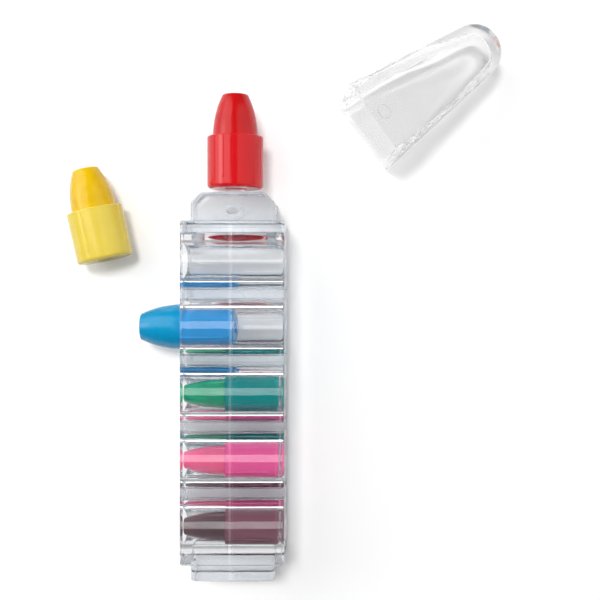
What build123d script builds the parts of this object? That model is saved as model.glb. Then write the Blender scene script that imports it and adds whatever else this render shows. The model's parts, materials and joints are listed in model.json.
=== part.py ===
from build123d import *
import os
from math import cos, radians, sin, tan

# A clear crayon holder lying on its back, with X across it, Y along it towards the writing end and Z up.
# The origin is the middle of the back face of its block. Lengths are in millimetres, angles in degrees.

# Crayon points: a wax tip cast into a plastic collar, with a socket in the collar's rear
collar_radius = 7.0
collar_length = 13.0
collar_rear_round = 0.9
collar_front_round = 0.35
cup_floor = 1.0
wax_fit = 0.02
tip_base_radius = 5.65
tip_end_radius = 3.2
tip_end_round = 0.5
tip_length = 10.5
rib_count = 4
rib_radius = 0.3
rib_proud = 0.12
rib_length = 10.4
rib_turn = -21.0
stub_radius = 2.4
stub_clearance = 0.1
stub_tip_chamfer = 0.4
socket_depth = 7.5
socket_chamfer = 0.3

# Holder block with its row of through bores
bore_count = 5
bore_clearance = 0.05
bore_web = 2.0
bore_end_room = 1.7
mouth_round = 0.3
face_wall = 3.23
shoulder_wall = 2.4
bottom_wall = 1.0
holder_corner = 0.9
holder_end_round = 0.5
front_draft = 1.0
seam_width = 4.0
seam_height = 0.12
bead_width = 0.4
bead_height = 0.06

# Neck that the cap snaps onto, and the foot at the other end
neck_ledge = 2.3
neck_height = 7.1
neck_chamfer = 2.6
neck_chamfer_round = 1.2
neck_corner = 1.0
seat_gap = 1.4
foot_ledge = 2.4
foot_height = 4.4
foot_corner = 1.2
foot_edge_round = 0.5
bump_length = 3.6
bump_height = 2.8
bump_proud = 0.6
bump_rise = 3.0

# Cap, taken off and lying on its side
cap_clearance = 0.2
cap_mouth_corner = 2.8
cap_rim_round = 0.4
cap_narrow_taper = 6.3
cap_wide_taper = 6.6
cap_nose_wall = 3.5
cap_tip_room = 3.85
cap_pocket_room = 0.3
cavity_clearance = 0.15
cavity_wide_room = 3.0
cavity_end_room = 0.4
cavity_end_round = 2.0
round_share = 0.97

# Where the loose pieces lie
stored_recess = 1.5
blue_push = 11.15
yellow_rear_x = -33.1
yellow_rear_y = 32.45
yellow_turn = 12.9
cap_rim_x = 32.0
cap_rim_y = 63.95
cap_turn = 36.2

# Sizes that follow
crayon_length = collar_length + tip_length
cup_depth = collar_length - socket_depth - cup_floor
socket_radius = stub_radius + stub_clearance
bore_radius = collar_radius + rib_proud + bore_clearance
bore_pitch = 2 * bore_radius + bore_web
holder_width = crayon_length + bore_end_room
holder_depth = 2 * (bore_radius + face_wall)
holder_length = shoulder_wall + 2 * bore_radius + (bore_count - 1) * bore_pitch + bottom_wall
axis_height = holder_depth / 2
shoulder_y = holder_length / 2
bottom_y = -holder_length / 2
first_bore_y = shoulder_y - shoulder_wall - bore_radius
bore_ys = [first_bore_y - i * bore_pitch for i in range(bore_count)]
neck_width = holder_width - 2 * neck_ledge
neck_depth = holder_depth - 2 * neck_ledge
neck_top_y = shoulder_y + neck_height
bump_y = shoulder_y + bump_rise
bump_seat = neck_depth / 2 + seam_height
stub_length = seat_gap + socket_depth
foot_width = holder_width - 2 * foot_ledge
foot_depth = holder_depth - 2 * foot_ledge
cap_length = neck_height + seat_gap + crayon_length + cap_tip_room + cap_nose_wall


def moulded_section(y, width, depth, corner):
    """Cross-section at y: flat back and sides, front drafted both ways from a low ridge at the seam."""
    half = width / 2
    ridge_half = seam_width / 2
    low = axis_height - depth / 2
    high = axis_height + depth / 2
    side_high = high - half * tan(radians(front_draft))
    ridge_high = high - ridge_half * tan(radians(front_draft))
    with BuildSketch(Plane.XZ.offset(-y)) as section:
        with BuildLine():
            Polyline(
                (0, high + seam_height),
                (-ridge_half, ridge_high),
                (-half, side_high),
                (-half, low),
                (half, low),
                (half, side_high),
                (ridge_half, ridge_high),
                close=True,
            )
        make_face()
        sides = section.vertices().group_by(Axis.X)
        fillet(sides[0] + sides[-1], corner)
    return section.sketch


def seam_bead(depth, low_y, high_y):
    """Fine moulding bead along the crest of the seam's ridge, from low_y to high_y."""
    crest = axis_height + depth / 2 + seam_height
    bead_half = bead_width / 2
    with BuildPart() as bead:
        with BuildSketch(Plane.XZ.offset(-high_y)):
            with BuildLine():
                root = crest - seam_height
                Polyline((bead_half, crest), (bead_half, root), (-bead_half, root), (-bead_half, crest))
                ThreePointArc((-bead_half, crest), (0, crest + bead_height), (bead_half, crest))
            make_face()
        extrude(amount=high_y - low_y)
    return bead.part


def bulge_radius(chord, height):
    """Radius of the arc that stands height above its chord."""
    return ((chord / 2) ** 2 + height ** 2) / (2 * height)


# Collar: a cup for the wax in front, a socket for the stub behind, friction ribs along its front
with BuildPart() as collar:
    with BuildSketch(Plane.XZ) as collar_profile:
        with BuildLine():
            Polyline(
                (socket_radius + socket_chamfer, 0),
                (collar_radius, 0),
                (collar_radius, collar_length),
                (tip_base_radius, collar_length),
                (tip_base_radius, collar_length - cup_depth),
                (0, collar_length - cup_depth),
                (0, socket_depth),
                (socket_radius, socket_depth),
                (socket_radius, socket_chamfer),
                close=True,
            )
        make_face()
        rim = collar_profile.vertices().group_by(Axis.X)[-1].sort_by(Axis.Y)
        fillet(rim[0], collar_rear_round)
        fillet(rim[-1], collar_front_round)
    revolve(axis=Axis.Z)
    with Locations((0, 0, collar_length - collar_front_round)):
        with PolarLocations(collar_radius + rib_proud - rib_radius, rib_count, start_angle=rib_turn):
            Cylinder(rib_radius, rib_length, align=(Align.CENTER, Align.CENTER, Align.MAX))

# Wax tip: a shank in the cup and a blunt rounded point
with BuildPart() as tip:
    with BuildSketch(Plane.XZ) as tip_profile:
        with BuildLine():
            shank_radius = tip_base_radius - wax_fit
            Polyline((shank_radius, collar_length), (shank_radius, collar_length - cup_depth),
                     (0, collar_length - cup_depth), (0, crayon_length), (tip_end_radius, crayon_length))
            TangentArc((shank_radius, collar_length), (tip_end_radius, crayon_length), tangent=(0, 1))
        make_face()
        ends = tip_profile.vertices().group_by(Axis.Y)[-1].sort_by(Axis.X)
        fillet(ends[-1], tip_end_round)
    revolve(axis=Axis.Z)

# Snap bump: a low pillow, its length along X and its top along Z
with BuildPart() as snap_bump:
    across = bulge_radius(bump_height, bump_proud)
    along = bulge_radius(bump_length, bump_proud)
    with Locations((0, 0, bump_proud - across)):
        Cylinder(across, bump_length, rotation=(0, 90, 0))
    with Locations((0, 0, bump_proud - along)):
        Cylinder(along, bump_height, rotation=(90, 0, 0), mode=Mode.INTERSECT)
    split(bisect_by=Plane.XY.offset(-bump_proud), keep=Keep.TOP)

# Neck: its two upper corners are cut off at the sides
with BuildPart() as neck:
    extrude(moulded_section(neck_top_y, neck_width, neck_depth, neck_corner), amount=neck_height)
    with BuildSketch(Plane.XY) as neck_outline:
        with BuildLine():
            Polyline(
                (-neck_width / 2, shoulder_y),
                (neck_width / 2, shoulder_y),
                (neck_width / 2, neck_top_y - neck_chamfer),
                (neck_width / 2 - neck_chamfer, neck_top_y),
                (neck_chamfer - neck_width / 2, neck_top_y),
                (-neck_width / 2, neck_top_y - neck_chamfer),
                close=True,
            )
        make_face()
        fillet(neck_outline.vertices().group_by(Axis.Y)[1:], neck_chamfer_round)
    extrude(amount=holder_depth, mode=Mode.INTERSECT)

# Foot: a plug at the bottom end, as wide as the neck, with rounded lower edges
with BuildPart() as foot:
    extrude(moulded_section(bottom_y, foot_width, foot_depth, foot_corner), amount=foot_height)
    fillet(foot.faces().sort_by(Axis.Y)[0].edges(), foot_edge_round)

# Holder: block, neck, stub, foot and bumps in one clear moulding, bored through from side to side
with BuildPart() as holder_body:
    extrude(moulded_section(shoulder_y, holder_width, holder_depth, holder_corner), amount=holder_length)
    ends = holder_body.faces().filter_by(Axis.Y)
    fillet(ends.edges(), holder_end_round)
    add(neck.part)
    add(foot.part)
    add(seam_bead(holder_depth, bottom_y + holder_end_round, shoulder_y - holder_end_round))
    add(seam_bead(neck_depth, shoulder_y, neck_top_y))
    add(seam_bead(foot_depth, bottom_y - foot_height + foot_edge_round, bottom_y))
    with BuildSketch(Plane.XZ.offset(-neck_top_y)):
        with Locations((0, axis_height)):
            Circle(stub_radius)
    extrude(amount=-stub_length)
    stub_end = holder_body.faces().sort_by(Axis.Y)[-1]
    chamfer(stub_end.edges(), stub_tip_chamfer)
    with Locations(
        Location((0, bump_y, axis_height + bump_seat)),
        Location((0, bump_y, axis_height - bump_seat), (0, 180, 0)),
        Location((neck_width / 2, bump_y, axis_height), (0, 90, 0)),
        Location((-neck_width / 2, bump_y, axis_height), (0, -90, 0)),
    ):
        add(snap_bump.part)
    with BuildSketch(Plane.YZ):
        with Locations(*[(y, axis_height) for y in bore_ys]):
            Circle(bore_radius)
    extrude(amount=holder_width, both=True, mode=Mode.SUBTRACT)
    side_faces = holder_body.faces().filter_by(Axis.X).sort_by(SortBy.AREA)[-2:]
    for side_face in side_faces:
        fillet(side_face.inner_wires().edges(), mouth_round)

# Cap: its mouth is flush with the block, it narrows to a round nose and its cavity clears the point on the stub
pocket_x = neck_depth / 2 + seam_height + bead_height + cap_clearance
pocket_y = neck_width / 2 + cap_clearance
pocket_depth = neck_height + cap_pocket_room
collar_top = neck_height + seat_gap + collar_length + cap_pocket_room
cavity_end = cap_length - cap_nose_wall
nose_depth = holder_depth - 2 * cap_length * tan(radians(cap_narrow_taper))
nose_width = holder_width - 2 * cap_length * tan(radians(cap_wide_taper))
nose_corner = round_share * nose_depth / 2
nose_round = round_share * nose_corner
cavity_depth = 2 * (collar_radius + rib_proud + cavity_clearance)
cavity_width = cavity_depth + cavity_wide_room
cavity_end_depth = 2 * (tip_end_radius + cavity_end_room)
cavity_end_width = cavity_end_depth + cavity_wide_room
with BuildPart() as cap:
    with BuildSketch():
        RectangleRounded(holder_depth, holder_width, cap_mouth_corner)
    with BuildSketch(Plane.XY.offset(cap_length)):
        RectangleRounded(nose_depth, nose_width, nose_corner)
    loft(ruled=True)
    fillet(cap.faces().sort_by(Axis.Z)[-1].edges(), nose_round)
    fillet(cap.faces().sort_by(Axis.Z)[0].edges(), cap_rim_round)
    with BuildSketch():
        RectangleRounded(2 * pocket_x, 2 * pocket_y, neck_corner + cap_clearance)
    extrude(amount=pocket_depth, mode=Mode.SUBTRACT)
    with BuildSketch(Plane.XY.offset(pocket_depth)):
        RectangleRounded(2 * pocket_x, 2 * pocket_y, neck_corner + cap_clearance)
    with BuildSketch(Plane.XY.offset(collar_top)):
        RectangleRounded(cavity_depth, cavity_width, round_share * cavity_depth / 2)
    loft(ruled=True, mode=Mode.SUBTRACT)
    with BuildSketch(Plane.XY.offset(collar_top)):
        RectangleRounded(cavity_depth, cavity_width, round_share * cavity_depth / 2)
    with BuildSketch(Plane.XY.offset(cavity_end)):
        RectangleRounded(cavity_end_depth, cavity_end_width, round_share * cavity_end_depth / 2)
    loft(ruled=True, mode=Mode.SUBTRACT)
    cavity_floor = cap.faces().filter_by(Axis.Z).sort_by(Axis.Z)[-2]
    fillet(cavity_floor.edges(), cavity_end_round)
    with Locations(
        Location((pocket_x, 0, bump_rise), (90, 0, 90)),
        Location((-pocket_x, 0, bump_rise), (90, 0, -90)),
        Location((0, pocket_y, bump_rise), (-90, 0, 0)),
        Location((0, -pocket_y, bump_rise), (90, 0, 0)),
    ):
        add(snap_bump.part, mode=Mode.SUBTRACT)

# Each crayon point is placed by its rear face, the way its tip points and one rib's turn from straight up
stored_rear_x = holder_width / 2 - stored_recess
up = (0, 0, 1)


def point_place(x, y, z, way):
    """Place of a crayon point whose rear centre is at x, y, z and whose tip points along way."""
    return Plane(origin=(x, y, z), x_dir=up, z_dir=way).location


left = (-1, 0, 0)
yellow_way = (-sin(radians(yellow_turn)), cos(radians(yellow_turn)), 0)
point_places = {
    "red": point_place(0, neck_top_y + seat_gap, axis_height, (0, 1, 0)),
    "yellow": point_place(yellow_rear_x, yellow_rear_y, collar_radius, yellow_way),
    "blue": point_place(stored_rear_x - blue_push, bore_ys[1], axis_height, left),
    "green": point_place(stored_rear_x, bore_ys[2], axis_height, left),
    "pink": point_place(stored_rear_x, bore_ys[3], axis_height, left),
    "black": point_place(stored_rear_x, bore_ys[4], axis_height, left),
}

# The cap rests on one tapered side, so its axis dips towards the nose by that taper
dip = radians(cap_wide_taper)
heading = radians(cap_turn)
rim_half = holder_width / 2
cap_axis = (cos(dip) * cos(heading), cos(dip) * sin(heading), -sin(dip))
cap_place = Plane(
    origin=(
        cap_rim_x + rim_half * sin(dip) * cos(heading),
        cap_rim_y + rim_half * sin(dip) * sin(heading),
        rim_half * cos(dip),
    ),
    x_dir=(-sin(heading), cos(heading), 0),
    z_dir=cap_axis,
).location

# One file for each piece
os.makedirs("parts", exist_ok=True)
pieces = {"holder_body": holder_body.part, "cap": cap.part.moved(cap_place)}
for colour, place in point_places.items():
    pieces[f"{colour}_collar"] = collar.part.moved(place)
    pieces[f"{colour}_tip"] = tip.part.moved(place)
for name, piece in pieces.items():
    piece.label = name
    export_step(piece, f"parts/{name}.step")
print("ok")
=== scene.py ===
import json
import math

import bmesh
import bpy
from mathutils import Matrix, Vector, noise


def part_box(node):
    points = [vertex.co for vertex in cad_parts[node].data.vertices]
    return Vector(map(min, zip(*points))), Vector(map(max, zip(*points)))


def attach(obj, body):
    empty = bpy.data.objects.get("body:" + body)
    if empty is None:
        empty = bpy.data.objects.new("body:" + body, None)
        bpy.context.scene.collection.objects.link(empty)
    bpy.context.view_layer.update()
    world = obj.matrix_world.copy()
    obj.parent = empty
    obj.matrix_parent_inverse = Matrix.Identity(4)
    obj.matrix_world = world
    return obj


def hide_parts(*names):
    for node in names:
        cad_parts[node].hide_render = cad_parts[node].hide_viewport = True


# A clear crayon holder with five cross bores, a cap taken off beside it and six crayon points.
# Shapes are made in millimetres and scaled to metres as they become objects.
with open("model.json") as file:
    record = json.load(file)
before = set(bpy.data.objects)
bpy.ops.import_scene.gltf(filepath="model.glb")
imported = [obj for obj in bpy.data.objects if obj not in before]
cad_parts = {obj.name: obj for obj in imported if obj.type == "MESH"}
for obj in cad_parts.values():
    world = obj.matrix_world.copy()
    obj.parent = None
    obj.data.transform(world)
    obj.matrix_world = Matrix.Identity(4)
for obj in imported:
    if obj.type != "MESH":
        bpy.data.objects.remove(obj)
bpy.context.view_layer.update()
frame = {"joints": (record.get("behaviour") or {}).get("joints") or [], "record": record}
record = frame["record"]
MM = 0.001

# Places and sizes from the frame
mounts = {mount["name"]: mount for mount in record["mounts"]}
ways = {joint["child"]: Vector(joint["axis"]) for joint in frame["joints"]}
holder_low, holder_high = (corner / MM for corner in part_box("holder_body"))
bore_mount = mounts["empty_bore"]
bore_radius = bore_mount["dims"]["r_mm"]
axis_height = bore_mount["pos_m"][2] / MM
stored_colours = ("blue", "green", "pink", "black")
bore_names = ["empty_bore"] + [f"{colour}_socket" for colour in stored_colours]
bore_ys = [mounts[name]["pos_m"][1] / MM for name in bore_names]
holder_width = holder_high.x - holder_low.x
holder_depth = 2 * axis_height
red_rear_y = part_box("red_collar")[0].y / MM
crayon_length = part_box("red_tip")[1].y / MM - red_rear_y
collar_length = (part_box("red_collar")[1].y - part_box("red_collar")[0].y) / MM

# Holder moulding
SHOULDER_WALL = 2.4
BOTTOM_WALL = 1.0
HOLDER_CORNER = 0.9
HOLDER_END_ROUND = 0.5
FRONT_DRAFT = math.radians(1.0)
SEAM_WIDTH = 4.0
SEAM_HEIGHT = 0.12
BEAD_WIDTH = 0.4
BEAD_HEIGHT = 0.06
BEAD_SHOULDER_SHARE = 0.75
MOUTH_ROUND = 0.3
MOUTH_SWEEP = math.radians(84.0)
MOUTH_OVERRUN = 0.003
CUTTER_FLARE = 1.0
NECK_LEDGE = 2.3
SEAT_GAP = 1.4
NECK_CHAMFER = 2.6
NECK_CORNER = 1.0
NECK_CHAMFER_ROUND = 1.2
NECK_TOP_ROUND = 0.6
FOOT_LEDGE = 2.4
FOOT_CORNER = 1.2
FOOT_EDGE_ROUND = 0.5
STUB_CHAMFER = 0.4
STUB_CLEARANCE = 0.1
STUB_ROOT = 1.0
ROOT_OVERLAP = 0.5
BUMP_HALF_LENGTH = 1.8
BUMP_HALF_HEIGHT = 1.4
BUMP_PROUD = 0.6
BUMP_RISE = 3.0

# Crayon points
COLLAR_RADIUS = 7.0
COLLAR_REAR_ROUND = 0.9
COLLAR_FRONT_ROUND = 0.35
CUP_DEPTH = 4.5
CUP_CLEARANCE = 0.02
CUP_EDGE_ROUND = 0.1
SOCKET_CHAMFER = 0.3
SOCKET_FLOOR_ROUND = 0.15
SOCKET_EDGE_ROUND = 0.1
RIB_COUNT = 4
RIB_PROUD = 0.12
RIB_HALF_TURN = math.radians(2.0)
RIB_LENGTH = 10.4
RIB_END_RUN = 0.5
RIB_TURN = math.radians(-21.0)
TIP_BASE_RADIUS = 5.63
TIP_END_RADIUS = 3.2
TIP_END_ROUND = 0.5
TIP_CROWN = 0.12
WAX_WAVE = 0.03
WAX_WAVE_SCALE = 0.35
WAX_WAVE_START = 0.2
WAX_WAVE_SINK = 0.5

# Cap
CAP_RIM_X = 32.0
CAP_RIM_Y = 63.95
CAP_LENGTH = 39.35
CAP_NARROW_TAPER = math.tan(math.radians(6.3))
CAP_WIDE_TAPER = math.tan(math.radians(6.6))
CAP_MOUTH_CORNER = 2.8
CAP_RIM_ROUND = 0.4
CAP_INNER_RIM_ROUND = 0.35
CAP_NOSE_WALL = 3.5
CAP_CLEARANCE = 0.2
CAP_POCKET_ROOM = 0.3
CAVITY_SIDE_ROOM = 0.27
CAVITY_WIDE_ROOM = 3.0
CAVITY_END_ROOM = 0.4
CAVITY_END_ROUND = 2.0
ROUND_SHARE = 0.97

# Clear plastic's colour in depth, and how strongly a metre of it absorbs what that colour leaves out
CLEAR_TINT = (0.92, 0.932, 0.944, 1)
HOLDER_DENSITY = 115.0

# Clear plastic's polish and ripple in patches to a metre, the best polished share of the haze,
# and the run in millimetres over which the haze changes to that of the neck or foot
CLEAR_POLISH_SCALE = 260.0
CLEAR_POLISHED = 0.6
CLEAR_RIPPLE_SCALE = 90.0
CLEAR_RIPPLE_DETAIL = 2.0
HAZE_RUN = 0.6

# Collar plastic: mottling, roughness and grain, in patches to a metre and metres of relief
PLASTIC_MOTTLE_SCALE = 220.0
PLASTIC_DARK, PLASTIC_LIGHT = 0.975, 1.025
PLASTIC_POLISH_SCALE = 900.0
PLASTIC_SMOOTH, PLASTIC_ROUGH = 0.09, 0.14
PLASTIC_GRAIN_SCALE = 2600.0
PLASTIC_GRAIN = 0.0000015

# Collars' specular level: full in the open, less on the points that lie in the bores
OPEN_SHINE = 0.5
BORE_SHINE = 0.12

# Wax: mottling, roughness, grain and the light that it lets in
WAX_MOTTLE_SCALE = 420.0
WAX_MOTTLE_DETAIL = 6.0
WAX_DARK, WAX_LIGHT = 0.93, 1.06
WAX_POLISH_SCALE = 700.0
WAX_SMOOTH, WAX_ROUGH = 0.18, 0.27
WAX_GRAIN_SCALE = 1500.0
WAX_GRAIN = 0.000005
WAX_GLOW = 0.12
WAX_GLOW_REACH = 0.001
WAX_GLOW_COLOUR = (1.0, 0.8, 0.7)

# Noise levels at which a surface reaches its low and its high end
NOISE_LOW, NOISE_HIGH = 0.3, 0.7

# Floor in metres, and its own share of white for the camera and for gloss and clear plastic
FLOOR_HALF = 0.6
FLOOR_DROP = -0.00015
FLOOR_WHITE = 0.82
FLOOR_GLOW = 0.15
FLOOR_GLOW_SEEN = 0.04

# Key light's two edges in metres, which the side light shares
KEY_NEAR = (-0.22, 0.45, 0.72)
KEY_FAR = (-0.78, 0.45, 0.08)
KEY_LENGTH = 0.85

# Camera in metres, its lens and sensor in millimetres, and its shift in pixels of the photograph
CAMERA_PLACE = (0.0224, 0.0243, 0.2704)
CAMERA_LENS = 62.4
CAMERA_SENSOR = 36.0
CAMERA_NEAR = 0.01
PHOTO_PIXELS = 600
SHIFT_RIGHT_PIXELS = -25
SHIFT_UP_PIXELS = -8

# Mesh fineness: steps in curves, a rib's margin as a share of its half-turn, and a wall's in millimetres
CORNER_STEPS = 8
TURN_STEPS = 192
TAPER_STEPS = 16
BUMP_STEPS = 48
COLLAR_STEPS = 128
RIB_STEPS = 6
RIB_END_STEPS = 4
RIB_MARGIN = 1.2
WALL_MARGIN = 0.02
WALL_STEP = 0.5
FLANK_STEPS = 24
FLAT_WEIGHT = 80
SHARP_ANGLE = math.radians(14.0)

# Light paths through the clear pieces
CLEAR_BOUNCES = 32
GLOSS_BOUNCES = 24

shoulder_y = bore_ys[0] + bore_radius + SHOULDER_WALL
bottom_y = bore_ys[-1] - bore_radius - BOTTOM_WALL
neck_top_y = red_rear_y - SEAT_GAP
neck_height = neck_top_y - shoulder_y
neck_width = holder_width - 2 * NECK_LEDGE
neck_depth = holder_depth - 2 * NECK_LEDGE
foot_width = holder_width - 2 * FOOT_LEDGE
foot_depth = holder_depth - 2 * FOOT_LEDGE
socket_radius = mounts["green_socket"]["dims"]["r_mm"]
socket_depth = mounts["green_socket"]["dims"]["length_mm"] + SOCKET_CHAMFER
stub_radius = socket_radius - STUB_CLEARANCE
rib_start = collar_length - COLLAR_FRONT_ROUND - RIB_LENGTH
cup_floor = collar_length - CUP_DEPTH


# Curves and rings
def arc(centre, radius, start, end, steps):
    """Points of an arc in a plane, both ends included."""
    turns = [start + (end - start) * i / steps for i in range(steps + 1)]
    return [(centre[0] + radius * math.cos(t), centre[1] + radius * math.sin(t)) for t in turns]


def quarter_turn(steps):
    """Angles from zero to a right angle, both ends included."""
    return [math.pi / 2 * i / steps for i in range(steps + 1)]


def between(first, last):
    """Even steps along a taper, both ends left out."""
    return [first + (last - first) * i / TAPER_STEPS for i in range(1, TAPER_STEPS)]


def rounded_path(corners):
    """Points of an open path through corners (x, y, radius), each rounded to its radius."""
    path = [corners[0][:2]]
    for before, here, after in zip(corners, corners[1:], corners[2:]):
        point, radius = Vector(here[:2]), here[2]
        back = (Vector(before[:2]) - point).normalized()
        ahead = (Vector(after[:2]) - point).normalized()
        if radius == 0:
            path.append(tuple(point))
            continue
        half = back.angle(ahead) / 2
        middle = point + (back + ahead).normalized() * radius / math.sin(half)
        first = point + back * radius / math.tan(half) - middle
        last = point + ahead * radius / math.tan(half) - middle
        turn = first.angle_signed(last)
        for i in range(CORNER_STEPS + 1):
            spoke = first.copy()
            spoke.rotate(Matrix.Rotation(-turn * i / CORNER_STEPS, 2))
            path.append(tuple(middle + spoke))
    path.append(corners[-1][:2])
    return path


def rounded_rectangle(width, height, corner):
    """Ring of (x, y) points round the origin, with four rounded corners."""
    ring = []
    for quarter, (side_x, side_y) in enumerate(((1, 1), (-1, 1), (-1, -1), (1, -1))):
        centre = (side_x * (width / 2 - corner), side_y * (height / 2 - corner))
        start = quarter * math.pi / 2
        ring += arc(centre, corner, start, start + math.pi / 2, 2 * CORNER_STEPS)
    return ring


def moulded_ring(y, width, depth, corner, rise=1.0):
    """Ring of the holder's section at y: flat back and sides, drafted front with a ridge and a bead."""
    half = width / 2
    low = axis_height - depth / 2
    high = axis_height + depth / 2
    slope = math.tan(FRONT_DRAFT)
    shoulder = high - (half - corner) * slope - corner / math.cos(FRONT_DRAFT)
    quarter = math.pi / 2
    right = arc((half - corner, low + corner), corner, -quarter, 0, CORNER_STEPS)
    right += arc((half - corner, shoulder), corner, 0, quarter - FRONT_DRAFT, CORNER_STEPS)
    ridge = rise * SEAM_HEIGHT
    bead = rise * BEAD_HEIGHT
    ridge_at_bead = ridge * (1 - BEAD_WIDTH / SEAM_WIDTH)
    right.append((SEAM_WIDTH / 2, high - SEAM_WIDTH / 2 * slope))
    right.append((BEAD_WIDTH / 2, high + ridge_at_bead))
    right.append((BEAD_WIDTH / 4, high + ridge + BEAD_SHOULDER_SHARE * bead))
    left = [(-x, z) for x, z in reversed(right)]
    return [(x, y, z) for x, z in right + [(0, high + ridge + bead)] + left]


# Mesh objects
def finished(name, mesh, matrix=Matrix.Identity(4)):
    """Object in metres from a mesh in millimetres, shaded smooth up to the sharp angle."""
    mesh.transform(Matrix.Scale(MM, 4) @ matrix)
    mesh.shade_smooth()
    mesh.set_sharp_from_angle(angle=SHARP_ANGLE)
    piece = bpy.data.objects.new(name, mesh)
    bpy.context.scene.collection.objects.link(piece)
    return piece


def loft(name, rings, first_pole=None, last_pole=None):
    """Closed mesh through rings of points, ended by flat faces or by fans to poles."""
    shape = bmesh.new()
    loops = [[shape.verts.new(point) for point in ring] for ring in rings]
    for lower, upper in zip(loops, loops[1:]):
        for i in range(len(lower)):
            j = (i + 1) % len(lower)
            shape.faces.new((lower[i], lower[j], upper[j], upper[i]))
    for loop, pole in ((loops[0], first_pole), (loops[-1], last_pole)):
        if pole is None:
            shape.faces.new(loop)
            continue
        tip = shape.verts.new(pole)
        for i in range(len(loop)):
            shape.faces.new((loop[i], loop[(i + 1) % len(loop)], tip))
    bmesh.ops.recalc_face_normals(shape, faces=shape.faces)
    mesh = bpy.data.meshes.new(name)
    shape.to_mesh(mesh)
    shape.free()
    return mesh


def joined(name, meshes):
    """One mesh of several that don't touch."""
    shape = bmesh.new()
    for mesh in meshes:
        shape.from_mesh(mesh)
    result = bpy.data.meshes.new(name)
    shape.to_mesh(result)
    shape.free()
    return result


def combined(name, base, steps):
    """Mesh of base after boolean steps, each an operation and the other mesh."""
    scratch = bpy.data.objects.new(name, base)
    bpy.context.scene.collection.objects.link(scratch)
    others = []
    for operation, mesh in steps:
        other = bpy.data.objects.new(mesh.name, mesh)
        bpy.context.scene.collection.objects.link(other)
        others.append(other)
        cut = scratch.modifiers.new(mesh.name, "BOOLEAN")
        cut.operation = operation
        cut.solver = "EXACT"
        cut.object = other
    bpy.context.view_layer.update()
    depsgraph = bpy.context.evaluated_depsgraph_get()
    result = bpy.data.meshes.new_from_object(scratch.evaluated_get(depsgraph))
    for helper in [scratch] + others:
        bpy.data.objects.remove(helper)
    result.name = name
    return result


def even_normals(piece):
    """Keeps broad flats flat where they run into rounded edges."""
    weighted = piece.modifiers.new("even_normals", "WEIGHTED_NORMAL")
    weighted.keep_sharp = True
    weighted.weight = FLAT_WEIGHT


# Materials
def material(name):
    """New node material, its node tree and its shader."""
    made = bpy.data.materials.new(name)
    made.use_nodes = True
    return made, made.node_tree, made.node_tree.nodes["Principled BSDF"]


def noise_node(tree, scale, detail=4.0):
    """Noise in object space, in patches of about one over scale metres."""
    place = tree.nodes.new("ShaderNodeTexCoord")
    texture = tree.nodes.new("ShaderNodeTexNoise")
    texture.inputs["Scale"].default_value = scale
    texture.inputs["Detail"].default_value = detail
    tree.links.new(place.outputs["Object"], texture.inputs["Vector"])
    return texture


def spread(tree, texture, low, high):
    """Value that runs from low to high with a noise."""
    ranged = tree.nodes.new("ShaderNodeMapRange")
    ranged.inputs["From Min"].default_value = NOISE_LOW
    ranged.inputs["From Max"].default_value = NOISE_HIGH
    ranged.inputs["To Min"].default_value = low
    ranged.inputs["To Max"].default_value = high
    tree.links.new(texture.outputs["Fac"], ranged.inputs["Value"])
    return ranged.outputs["Result"]


def tint(tree, texture, dark, light):
    """Colour that runs from dark to light with a noise."""
    ramp = tree.nodes.new("ShaderNodeValToRGB")
    ramp.color_ramp.elements[0].position = NOISE_LOW
    ramp.color_ramp.elements[0].color = (*dark, 1)
    ramp.color_ramp.elements[1].position = NOISE_HIGH
    ramp.color_ramp.elements[1].color = (*light, 1)
    tree.links.new(texture.outputs["Fac"], ramp.inputs["Fac"])
    return ramp.outputs["Color"]


def bump(tree, shader, texture, depth):
    """Surface relief of a noise, depth in metres."""
    relief = tree.nodes.new("ShaderNodeBump")
    relief.inputs["Strength"].default_value = 1.0
    relief.inputs["Distance"].default_value = depth
    tree.links.new(texture.outputs["Fac"], relief.inputs["Height"])
    tree.links.new(relief.outputs["Normal"], shader.inputs["Normal"])


def shade(colour, factor):
    """Colour times a factor, kept within range."""
    return tuple(min(1.0, channel * factor) for channel in colour)


def beyond(tree, edge, way, inner, outer):
    """Value that turns from inner, a link, to outer where Y passes edge.

    Edge is in metres in the object's own space, and way is 1 upwards or -1 downwards.
    """
    place = tree.nodes.new("ShaderNodeTexCoord")
    split = tree.nodes.new("ShaderNodeSeparateXYZ")
    tree.links.new(place.outputs["Object"], split.inputs["Vector"])
    passed = tree.nodes.new("ShaderNodeMapRange")
    passed.inputs["From Min"].default_value = edge
    passed.inputs["From Max"].default_value = edge + way * HAZE_RUN * MM
    passed.inputs["To Max"].default_value = outer
    tree.links.new(split.outputs["Y"], passed.inputs["Value"])
    tree.links.new(inner, passed.inputs["To Min"])
    return passed.outputs["Result"]


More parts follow.
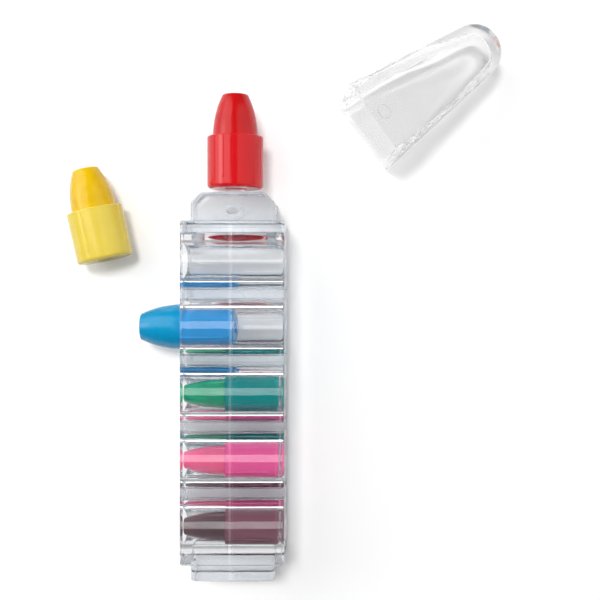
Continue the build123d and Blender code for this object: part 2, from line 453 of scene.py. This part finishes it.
def clear_plastic(name, clarity, bend, ripple, haze, density=0.0, neck_haze=None, foot_haze=None):
    """Clear plastic with a flow ripple, in metres, and a polish that is uneven up to its haze.

    Bend is its index of refraction, and density makes it faintly blue in its depth.
    The holder's neck and foot, beyond its block, can have a haze of their own.
    """
    made, tree, shader = material(name)
    shader.inputs["Base Color"].default_value = (clarity, clarity, clarity, 1)
    shader.inputs["Transmission Weight"].default_value = 1.0
    shader.inputs["IOR"].default_value = bend
    polish = spread(tree, noise_node(tree, CLEAR_POLISH_SCALE), CLEAR_POLISHED * haze, haze)
    if neck_haze:
        polish = beyond(tree, shoulder_y * MM, 1, polish, neck_haze)
    if foot_haze:
        polish = beyond(tree, bottom_y * MM, -1, polish, foot_haze)
    tree.links.new(polish, shader.inputs["Roughness"])
    bump(tree, shader, noise_node(tree, CLEAR_RIPPLE_SCALE, CLEAR_RIPPLE_DETAIL), ripple)
    if density:
        depth = tree.nodes.new("ShaderNodeVolumeAbsorption")
        depth.inputs["Color"].default_value = CLEAR_TINT
        depth.inputs["Density"].default_value = density
        tree.links.new(depth.outputs["Volume"], tree.nodes["Material Output"].inputs["Volume"])
    return made


def collar_plastic(name, colour, shine):
    """Moulded coloured plastic with a fine grain."""
    made, tree, shader = material(name)
    shader.inputs["Specular IOR Level"].default_value = shine
    mottle = noise_node(tree, PLASTIC_MOTTLE_SCALE)
    shown = tint(tree, mottle, shade(colour, PLASTIC_DARK), shade(colour, PLASTIC_LIGHT))
    tree.links.new(shown, shader.inputs["Base Color"])
    polish = spread(tree, noise_node(tree, PLASTIC_POLISH_SCALE), PLASTIC_SMOOTH, PLASTIC_ROUGH)
    tree.links.new(polish, shader.inputs["Roughness"])
    bump(tree, shader, noise_node(tree, PLASTIC_GRAIN_SCALE), PLASTIC_GRAIN)
    return made


def wax(name, colour):
    """Crayon wax: mottled colour, soft gloss and a fine grain."""
    made, tree, shader = material(name)
    mottle = noise_node(tree, WAX_MOTTLE_SCALE, WAX_MOTTLE_DETAIL)
    shown = tint(tree, mottle, shade(colour, WAX_DARK), shade(colour, WAX_LIGHT))
    tree.links.new(shown, shader.inputs["Base Color"])
    polish = spread(tree, noise_node(tree, WAX_POLISH_SCALE), WAX_SMOOTH, WAX_ROUGH)
    tree.links.new(polish, shader.inputs["Roughness"])
    shader.inputs["Subsurface Weight"].default_value = WAX_GLOW
    shader.inputs["Subsurface Radius"].default_value = WAX_GLOW_COLOUR
    shader.inputs["Subsurface Scale"].default_value = WAX_GLOW_REACH
    bump(tree, shader, noise_node(tree, WAX_GRAIN_SCALE), WAX_GRAIN)
    return made


wax_colours = {
    "red": (0.53, 0.002, 0.004),
    "yellow": (0.73, 0.46, 0.001),
    "blue": (0.001, 0.27, 0.51),
    "green": (0.004, 0.37, 0.19),
    "pink": (0.99, 0.15, 0.33),
    "black": (0.125, 0.07, 0.082),
}
plastic_colours = {
    "red": (0.61, 0.006, 0.01),
    "yellow": (0.75, 0.58, 0.08),
    "blue": (0.035, 0.32, 0.7),
    "green": (0.001, 0.25, 0.245),
    "pink": (0.82, 0.115, 0.34),
    "black": (0.21, 0.09, 0.12),
}


# Holder
def block_mesh():
    """The holder's block, its ends rounded."""
    return ended_block("block", bottom_y, shoulder_y, holder_width, holder_depth, HOLDER_CORNER,
                       (HOLDER_END_ROUND, HOLDER_END_ROUND))


def ended_block(name, low_y, high_y, width, depth, corner, rounds):
    """Moulded block from low_y to high_y, each end rounded to its own radius, or square at zero."""
    stations = []
    for end_y, inward, radius in ((low_y, 1, rounds[0]), (high_y, -1, rounds[1])):
        turns = quarter_turn(CORNER_STEPS) if radius else [math.pi / 2]
        stations += [(end_y + inward * radius * (1 - math.cos(t)), radius * (1 - math.sin(t)), math.sin(t))
                     for t in turns]
    rings = [moulded_ring(y, width - 2 * inset, depth - 2 * inset, corner - inset, rise)
             for y, inset, rise in sorted(stations)]
    return loft(name, rings)


def neck_mesh():
    """The neck, its two upper corners cut off at the sides and every edge eased."""
    half = neck_width / 2
    low_y = shoulder_y - HOLDER_END_ROUND - ROOT_OVERLAP
    side = rounded_path([(half, low_y, 0), (half, neck_top_y - NECK_CHAMFER, NECK_CHAMFER_ROUND),
                         (half - NECK_CHAMFER, neck_top_y, NECK_CHAMFER_ROUND), (0, neck_top_y, 0)])[:-1]
    top_ys = [neck_top_y - NECK_TOP_ROUND * (1 - math.sin(math.pi / 2 * i / CORNER_STEPS))
              for i in range(CORNER_STEPS)]
    rings = []
    for y in sorted([y for _, y in side] + top_ys):
        climb = max(0.0, y - neck_top_y + NECK_TOP_ROUND)
        inset = NECK_TOP_ROUND - math.sqrt(max(0.0, NECK_TOP_ROUND ** 2 - climb ** 2))
        rings.append(moulded_ring(y, 2 * side_at(side, y), neck_depth - 2 * inset, NECK_CORNER))
    return loft("neck", rings)


def side_at(side, y):
    """Half-width of a side path at y."""
    for (low_x, low_y), (high_x, high_y) in zip(side, side[1:]):
        if low_y <= y <= high_y and high_y > low_y:
            return low_x + (high_x - low_x) * (y - low_y) / (high_y - low_y)
    return side[-1][0]


def stub_mesh():
    """The stub that carries the drawing point."""
    end_y = holder_high.y
    outline = [(stub_radius, neck_top_y - STUB_ROOT), (stub_radius, end_y - STUB_CHAMFER),
               (stub_radius - STUB_CHAMFER, end_y)]
    rings = []
    for radius, y in outline:
        circle = arc((0, axis_height), radius, 0, 2 * math.pi, TURN_STEPS // 2)[:-1]
        rings.append([(x, y, z) for x, z in circle])
    return loft("stub", rings)


def bump_mesh(name, place):
    """Low oval snap bump, its length along X and its top along Z, set at place."""
    rings = []
    for i in range(1, 2 * CORNER_STEPS):
        lift = math.pi * (i / (2 * CORNER_STEPS) - 0.5)
        reach = math.cos(lift)
        height = BUMP_PROUD * math.sin(lift)
        ring = arc((0, 0), 1.0, 0, 2 * math.pi, BUMP_STEPS)[:-1]
        long, high = reach * BUMP_HALF_LENGTH, reach * BUMP_HALF_HEIGHT
        rings.append([(x * long, y * high, height) for x, y in ring])
    mesh = loft(name, rings, (0, 0, -BUMP_PROUD), (0, 0, BUMP_PROUD))
    mesh.transform(place)
    return mesh


def bore_cutters():
    """One mesh with a cutter for each bore: straight, with its rounded mouths run out past the sides."""
    half = holder_width / 2
    wide = bore_radius + MOUTH_ROUND
    turns = [MOUTH_SWEEP * i / CORNER_STEPS for i in range(CORNER_STEPS + 1)]
    mouth = [(half - MOUTH_ROUND * (1 - math.sin(t)), wide - MOUTH_ROUND * math.cos(t)) for t in turns]
    one_end = mouth + [(half + MOUTH_OVERRUN, wide), (half + CUTTER_FLARE, wide + CUTTER_FLARE)]
    outline = [(-x, radius) for x, radius in reversed(one_end)] + one_end
    cutters = []
    for y in bore_ys:
        rings = []
        for x, radius in outline:
            circle = arc((y, axis_height), radius, 0, 2 * math.pi, TURN_STEPS)[:-1]
            rings.append([(x, ring_y, z) for ring_y, z in circle])
        cutters.append(loft("bore", rings))
    return joined("bores", cutters)


def make_holder(finish):
    """The holder in one clear moulding."""
    bump_y = shoulder_y + BUMP_RISE
    across, back = neck_width / 2, neck_depth / 2 + SEAM_HEIGHT
    seats = [(Vector((0, bump_y, axis_height + back)), 0), (Vector((0, bump_y, axis_height - back)), 180),
             (Vector((across, bump_y, axis_height)), 90), (Vector((-across, bump_y, axis_height)), -90)]
    bumps = [bump_mesh("bump", Matrix.Translation(seat) @ Matrix.Rotation(math.radians(turn), 4, "Y"))
             for seat, turn in seats]
    foot_root_y = bottom_y + HOLDER_END_ROUND + ROOT_OVERLAP
    foot = ended_block("foot", holder_low.y, foot_root_y, foot_width, foot_depth, FOOT_CORNER,
                       (FOOT_EDGE_ROUND, 0))
    steps = [("UNION", neck_mesh()), ("UNION", foot), ("UNION", stub_mesh()),
             ("UNION", joined("bumps", bumps)), ("DIFFERENCE", bore_cutters())]
    piece = finished("holder_moulding", combined("holder_moulding", block_mesh(), steps))
    even_normals(piece)
    piece.data.materials.append(finish)
    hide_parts("holder_body")
    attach(piece, "holder")


# Cap
def cap_frame():
    """Matrix to the row from the cap's own frame: its mouth's centre at the origin, its nose along +Z."""
    heading = ways["cap"]
    dip = math.atan(CAP_WIDE_TAPER)
    axis = heading * math.cos(dip) - Vector((0, 0, math.sin(dip)))
    across = Vector((-heading.y, heading.x, 0))
    up = axis.cross(across)
    rim = Vector((CAP_RIM_X, CAP_RIM_Y, 0))
    lift = Vector((0, 0, holder_width / 2 * math.cos(dip)))
    origin = rim + heading * holder_width / 2 * math.sin(dip) + lift
    return Matrix.Translation(origin) @ Matrix((across, up, axis)).transposed().to_4x4()


def make_cap(finish):
    """The cap as one shell: from the nose down the outside to the rim, then up the inside."""
    nose_depth = holder_depth - 2 * CAP_LENGTH * CAP_NARROW_TAPER
    nose_width = holder_width - 2 * CAP_LENGTH * CAP_WIDE_TAPER
    nose_corner = ROUND_SHARE * nose_depth / 2
    nose_round = ROUND_SHARE * nose_corner

    def outer(z, inset):
        share = z / CAP_LENGTH
        depth = holder_depth + (nose_depth - holder_depth) * share - 2 * inset
        width = holder_width + (nose_width - holder_width) * share - 2 * inset
        corner = CAP_MOUTH_CORNER + (nose_corner - CAP_MOUTH_CORNER) * share - inset
        return [(x, y, z) for x, y in rounded_rectangle(depth, width, corner)]

    turns = quarter_turn(2 * CORNER_STEPS)
    rings = [outer(CAP_LENGTH - nose_round * (1 - math.sin(t)), nose_round * (1 - math.cos(t)))
             for t in reversed(turns)]
    rings += [outer(z, 0.0) for z in between(CAP_LENGTH - nose_round, CAP_RIM_ROUND)]
    rings += [outer(CAP_RIM_ROUND * (1 - math.sin(t)), CAP_RIM_ROUND * (1 - math.cos(t))) for t in turns]
    rings += cavity_rings()
    hollows = ("DIFFERENCE", joined("bump_hollows", bump_hollows()))
    piece = finished("cap_shell", combined("cap_shell", loft("cap_shell", rings), [hollows]), cap_frame())
    even_normals(piece)
    piece.data.materials.append(finish)
    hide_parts("cap")
    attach(piece, "cap")


def pocket_section():
    """Depth, width and corner of the cap's pocket, which takes the neck."""
    bead_room = SEAM_HEIGHT + BEAD_HEIGHT
    return (neck_depth + 2 * (bead_room + CAP_CLEARANCE), neck_width + 2 * CAP_CLEARANCE,
            NECK_CORNER + CAP_CLEARANCE)


def bump_hollows():
    """Bumps on the four walls of the cap's pocket, to be cut out of them."""
    depth, width, _ = pocket_section()
    seats = [((depth / 2, 0), 90), ((-depth / 2, 0), -90), ((0, width / 2), 180), ((0, -width / 2), 0)]
    upright = Matrix.Rotation(math.radians(90), 4, "X")
    hollows = []
    for (x, y), turn in seats:
        facing = Matrix.Rotation(math.radians(turn), 4, "Z") @ upright
        hollows.append(bump_mesh("bump_hollow", Matrix.Translation((x, y, BUMP_RISE)) @ facing))
    return hollows


def cavity_rings():
    """Rings of the cap's inside: a pocket for the neck, a long taper past the collar and a rounded end."""
    pocket_depth = neck_height + CAP_POCKET_ROOM
    collar_top = neck_height + SEAT_GAP + collar_length + CAP_POCKET_ROOM
    cavity_end = CAP_LENGTH - CAP_NOSE_WALL
    pocket = pocket_section()
    middle_depth = 2 * (COLLAR_RADIUS + CAVITY_SIDE_ROOM)
    middle = (middle_depth, middle_depth + CAVITY_WIDE_ROOM, ROUND_SHARE * middle_depth / 2)
    end_depth = 2 * (TIP_END_RADIUS + CAVITY_END_ROOM)
    end = (end_depth, end_depth + CAVITY_WIDE_ROOM, ROUND_SHARE * end_depth / 2)
    stations = []
    for turn in reversed(quarter_turn(CORNER_STEPS)):
        flare = CAP_INNER_RIM_ROUND * (1 - math.cos(turn))
        stations.append((CAP_INNER_RIM_ROUND * (1 - math.sin(turn)),
                         (pocket[0] + 2 * flare, pocket[1] + 2 * flare, pocket[2] + flare)))
    stations.append((pocket_depth, pocket))
    for share in between(0.0, 1.0):
        section = tuple(start + (last - start) * share for start, last in zip(pocket, middle))
        stations.append((pocket_depth + (collar_top - pocket_depth) * share, section))
    stations.append((collar_top, middle))
    taper = [(z, 0.0) for z in between(collar_top, cavity_end - CAVITY_END_ROUND)]
    turns = quarter_turn(2 * CORNER_STEPS)
    taper += [(cavity_end - CAVITY_END_ROUND * (1 - math.sin(t)), CAVITY_END_ROUND * (1 - math.cos(t)))
              for t in turns]
    for z, inset in taper:
        share = (z - collar_top) / (cavity_end - collar_top)
        depth, width, corner = (start + (last - start) * share for start, last in zip(middle, end))
        stations.append((z, (depth - 2 * inset, width - 2 * inset, corner - inset)))
    return [[(x, y, z) for x, y in rounded_rectangle(*section)] for z, section in stations]


# Crayon points
def crayon_frame(colour):
    """Matrix to the row from a point's own frame: its rear centre at the origin, its tip along +Z."""
    way = ways[f"{colour}_crayon"]
    socket = mounts.get(f"{colour}_socket")
    if socket:
        reach = socket["dims"]["length_mm"] / 2 + SOCKET_CHAMFER
        rear = Vector(socket["pos_m"]) / MM - reach * way
    else:
        rear = Vector((0, red_rear_y, axis_height))
    up = Vector((0, 0, 1))
    return Matrix.Translation(rear) @ Matrix((up, way.cross(up), way)).transposed().to_4x4()


def lathe(name, outline, turns, swell):
    """Mesh turned from an outline of (radius, z) that starts and ends on the axis, moved out by swell."""
    rings = []
    for radius, z in outline[1:-1]:
        ring = []
        for turn in turns:
            wide = radius + swell(radius, turn, z)
            ring.append((wide * math.cos(turn), wide * math.sin(turn), z))
        rings.append(ring)
    return loft(name, rings, (0, 0, outline[0][1]), (0, 0, outline[-1][1]))


def collar_turns():
    """Angles round a collar: even, with more at each rib."""
    turns = [2 * math.pi * i / COLLAR_STEPS for i in range(COLLAR_STEPS)]
    for k in range(RIB_COUNT):
        middle = (RIB_TURN + 2 * math.pi * k / RIB_COUNT) % (2 * math.pi)
        turns = [t for t in turns if abs(t - middle) > RIB_MARGIN * RIB_HALF_TURN]
        turns += [middle + RIB_HALF_TURN * i / RIB_STEPS for i in range(-RIB_STEPS, RIB_STEPS + 1)]
    return sorted(turns)


def rib_swell(radius, turn, z):
    """How far a rib lifts the collar's wall."""
    if radius < COLLAR_RADIUS - WALL_MARGIN:
        return 0.0
    step = 2 * math.pi / RIB_COUNT
    off = (turn - RIB_TURN + step / 2) % step - step / 2
    across = max(0.0, 1 - (off / RIB_HALF_TURN) ** 2)
    along = min(1.0, max(0.0, (z - rib_start) / RIB_END_RUN))
    return RIB_PROUD * math.sqrt(across) * math.sqrt(1 - (1 - along) ** 2)


def make_collar(colour, finish):
    """Collar with its socket, cup and friction ribs."""
    wall = [rib_start + RIB_END_RUN * i / RIB_END_STEPS for i in range(-1, RIB_END_STEPS + 2)]
    outline = rounded_path([(0, socket_depth, 0), (socket_radius, socket_depth, SOCKET_FLOOR_ROUND),
                            (socket_radius, SOCKET_CHAMFER, SOCKET_EDGE_ROUND),
                            (socket_radius + SOCKET_CHAMFER, 0, SOCKET_EDGE_ROUND),
                            (COLLAR_RADIUS, 0, COLLAR_REAR_ROUND), (COLLAR_RADIUS, collar_length, 0)])[:-1]
    outline += [(COLLAR_RADIUS, z) for z in wall]
    cup_radius = TIP_BASE_RADIUS + CUP_CLEARANCE
    outline += rounded_path([(COLLAR_RADIUS, wall[-1] + WALL_STEP, 0),
                             (COLLAR_RADIUS, collar_length, COLLAR_FRONT_ROUND),
                             (cup_radius, collar_length, CUP_EDGE_ROUND), (cup_radius, cup_floor, 0),
                             (0, cup_floor, 0)])
    turned = lathe(f"{colour}_collar", outline, collar_turns(), rib_swell)
    piece = finished(f"{colour}_collar_turned", turned, crayon_frame(colour))
    even_normals(piece)
    piece.data.materials.append(finish)
    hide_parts(f"{colour}_collar")
    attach(piece, f"{colour}_crayon")


def make_tip(colour, finish):
    """Wax tip: a straight foot in the cup, a curved flank and a blunt, slightly crowned end."""
    tip_length = crayon_length - collar_length
    slack = TIP_BASE_RADIUS - TIP_END_RADIUS
    flank_radius = (slack ** 2 + tip_length ** 2) / (2 * slack)
    lean = math.asin(tip_length / flank_radius)
    flank = arc((TIP_BASE_RADIUS - flank_radius, collar_length), flank_radius, 0, lean, FLANK_STEPS)
    end = rounded_path([(*flank[-3], 0), (*flank[-1], TIP_END_ROUND), (0, crayon_length + TIP_CROWN, 0)])
    outline = [(0, cup_floor), (TIP_BASE_RADIUS, cup_floor)]
    outline += flank[:-3] + end[:-1] + [(0, crayon_length)]
    seed = Vector((sum(map(ord, colour)), 0, 0))

    def waver(radius, turn, z):
        if z <= collar_length + WAX_WAVE_START:
            return 0.0
        spot = Vector((radius * math.cos(turn), radius * math.sin(turn), z)) * WAX_WAVE_SCALE
        return WAX_WAVE * (noise.noise(spot + seed) - WAX_WAVE_SINK)

    turns = [2 * math.pi * i / TURN_STEPS for i in range(TURN_STEPS)]
    turned = lathe(f"{colour}_tip", outline, turns, waver)
    piece = finished(f"{colour}_wax_point", turned, crayon_frame(colour))
    piece.data.materials.append(finish)
    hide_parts(f"{colour}_tip")
    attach(piece, f"{colour}_crayon")


# Studio: white floor, a far lamp overhead for the short shadows, a soft key and a window at the left, and
# a weak fill at the right. The strip shows only in gloss, the side and ceiling only in clear plastic.
def make_floor():
    """White floor that stays white where it is lit and keeps the shadows."""
    mesh = bpy.data.meshes.new("floor")
    sides = ((-1, -1), (1, -1), (1, 1), (-1, 1))
    mesh.from_pydata([(x * FLOOR_HALF, y * FLOOR_HALF, FLOOR_DROP) for x, y in sides], [], [(0, 1, 2, 3)])
    floor = bpy.data.objects.new("floor", mesh)
    bpy.context.scene.collection.objects.link(floor)
    made, tree, shader = material("floor_white")
    shader.inputs["Base Color"].default_value = (FLOOR_WHITE, FLOOR_WHITE, FLOOR_WHITE, 1)
    shader.inputs["Roughness"].default_value = 1.0
    shader.inputs["Specular IOR Level"].default_value = 0.0
    shader.inputs["Emission Color"].default_value = (1, 1, 1, 1)
    path = tree.nodes.new("ShaderNodeLightPath")
    seen = tree.nodes.new("ShaderNodeMapRange")
    seen.inputs["To Min"].default_value = FLOOR_GLOW_SEEN
    seen.inputs["To Max"].default_value = 0.0
    tree.links.new(path.outputs["Is Diffuse Ray"], seen.inputs["Value"])
    glow = tree.nodes.new("ShaderNodeMapRange")
    glow.inputs["To Max"].default_value = FLOOR_GLOW
    tree.links.new(path.outputs["Is Camera Ray"], glow.inputs["Value"])
    tree.links.new(seen.outputs["Result"], glow.inputs["To Min"])
    tree.links.new(glow.outputs["Result"], shader.inputs["Emission Strength"])
    floor.data.materials.append(made)


def panel_light(name, near, far, length, level, plain=True, in_gloss=True, in_clear=True):
    """Rectangular soft light between two edges' middles, in metres, as bright as level times a white wall.

    It can be kept out of plain light, of what gloss mirrors and of what comes through clear plastic.
    """
    near, far = Vector(near), Vector(far)
    run = far - near
    lamp = bpy.data.lights.new(name, "AREA")
    lamp.shape = "RECTANGLE"
    lamp.size = run.length
    lamp.size_y = length
    lamp.energy = level * math.pi * run.length * length
    across = run.normalized()
    sideways = Vector((-run.y, run.x, 0)).normalized()
    facing = across.cross(sideways)
    if facing.z < 0:
        facing.negate()
        sideways.negate()
    light = bpy.data.objects.new(name, lamp)
    light.visible_diffuse = plain
    light.visible_glossy = in_gloss
    light.visible_transmission = in_clear
    turned = Matrix((across, sideways, facing)).transposed().to_4x4()
    light.matrix_world = Matrix.Translation((near + far) / 2) @ turned
    bpy.context.scene.collection.objects.link(light)


def make_world(level, gloss_level, clear_low, clear_high):
    """Surround: white to the camera, with levels of its own as plain light and for gloss.

    Through clear plastic it runs from clear_low at the floor's edge to clear_high straight above.
    """
    world = bpy.data.worlds.new("surround")
    bpy.context.scene.world = world
    world.use_nodes = True
    tree = world.node_tree
    back = tree.nodes["Background"]
    back.inputs["Color"].default_value = (1, 1, 1, 1)
    place = tree.nodes.new("ShaderNodeTexCoord")
    split = tree.nodes.new("ShaderNodeSeparateXYZ")
    tree.links.new(place.outputs["Generated"], split.inputs["Vector"])
    climb = tree.nodes.new("ShaderNodeMapRange")
    climb.inputs["To Min"].default_value = clear_low
    climb.inputs["To Max"].default_value = clear_high
    tree.links.new(split.outputs["Z"], climb.inputs["Value"])
    path = tree.nodes.new("ShaderNodeLightPath")
    choices = {}
    for kind in ("Is Glossy Ray", "Is Transmission Ray", "Is Camera Ray"):
        choices[kind] = tree.nodes.new("ShaderNodeMapRange")
        tree.links.new(path.outputs[kind], choices[kind].inputs["Value"])
    in_gloss, through_clear, to_camera = choices.values()
    in_gloss.inputs["To Min"].default_value = level
    in_gloss.inputs["To Max"].default_value = gloss_level
    tree.links.new(in_gloss.outputs["Result"], through_clear.inputs["To Min"])
    tree.links.new(climb.outputs["Result"], through_clear.inputs["To Max"])
    tree.links.new(through_clear.outputs["Result"], to_camera.inputs["To Min"])
    to_camera.inputs["To Max"].default_value = 1.0
    tree.links.new(to_camera.outputs["Result"], back.inputs["Strength"])


def make_camera():
    """Camera straight above, as the photograph was taken."""
    lens = bpy.data.cameras.new("camera")
    lens.sensor_width = CAMERA_SENSOR
    lens.lens = CAMERA_LENS
    lens.shift_x = SHIFT_RIGHT_PIXELS / PHOTO_PIXELS
    lens.shift_y = SHIFT_UP_PIXELS / PHOTO_PIXELS
    lens.clip_start = CAMERA_NEAR
    camera = bpy.data.objects.new("camera", lens)
    camera.location = CAMERA_PLACE
    bpy.context.scene.collection.objects.link(camera)
    bpy.context.scene.camera = camera


make_holder(clear_plastic("holder_clear", clarity=0.985, bend=1.57, ripple=0.000004, haze=0.03,
                          density=HOLDER_DENSITY, neck_haze=0.2, foot_haze=0.08))
make_cap(clear_plastic("cap_clear", clarity=0.922, bend=1.12, ripple=0.000002, haze=0.1))
for colour in wax_colours:
    shine = BORE_SHINE if colour in stored_colours else OPEN_SHINE
    make_collar(colour, collar_plastic(f"{colour}_collar_plastic", plastic_colours[colour], shine))
    make_tip(colour, wax(f"{colour}_crayon_wax", wax_colours[colour]))

make_floor()
panel_light("overhead_light", (0.0, 0.55, 2.2), (-0.44, 0.55, 2.2), length=0.44, level=53.0,
            in_gloss=False, in_clear=False)
panel_light("key_light", KEY_NEAR, KEY_FAR, KEY_LENGTH, level=1.7, in_clear=False)
panel_light("side_light", KEY_NEAR, KEY_FAR, KEY_LENGTH, level=1.2, plain=False, in_gloss=False)
panel_light("window_light", (-0.56, 0.1, 0.45), (-0.68, 0.1, 0.31), length=0.4, level=2.2, in_clear=False)
panel_light("ceiling_light", (-0.03, -0.08, 0.75), (-0.03, 0.5, 0.58), length=0.6, level=3.8,
            plain=False, in_gloss=False)
panel_light("strip_light", (-0.16, -0.07, 0.74), (-0.22, -0.07, 0.735), length=0.4, level=1.5,
            plain=False, in_clear=False)
panel_light("fill_light", (0.16, 0.22, 0.73), (0.78, 0.22, 0.1), length=0.9, level=0.7)
make_world(level=0.12, gloss_level=0.08, clear_low=0.6, clear_high=0.06)
make_camera()

scene = bpy.context.scene
scene.view_settings.view_transform = "Standard"
scene.cycles.max_bounces = CLEAR_BOUNCES
scene.cycles.transmission_bounces = CLEAR_BOUNCES
scene.cycles.glossy_bounces = GLOSS_BOUNCES
scene.cycles.blur_glossy = 0.0

bpy.context.view_layer.update()
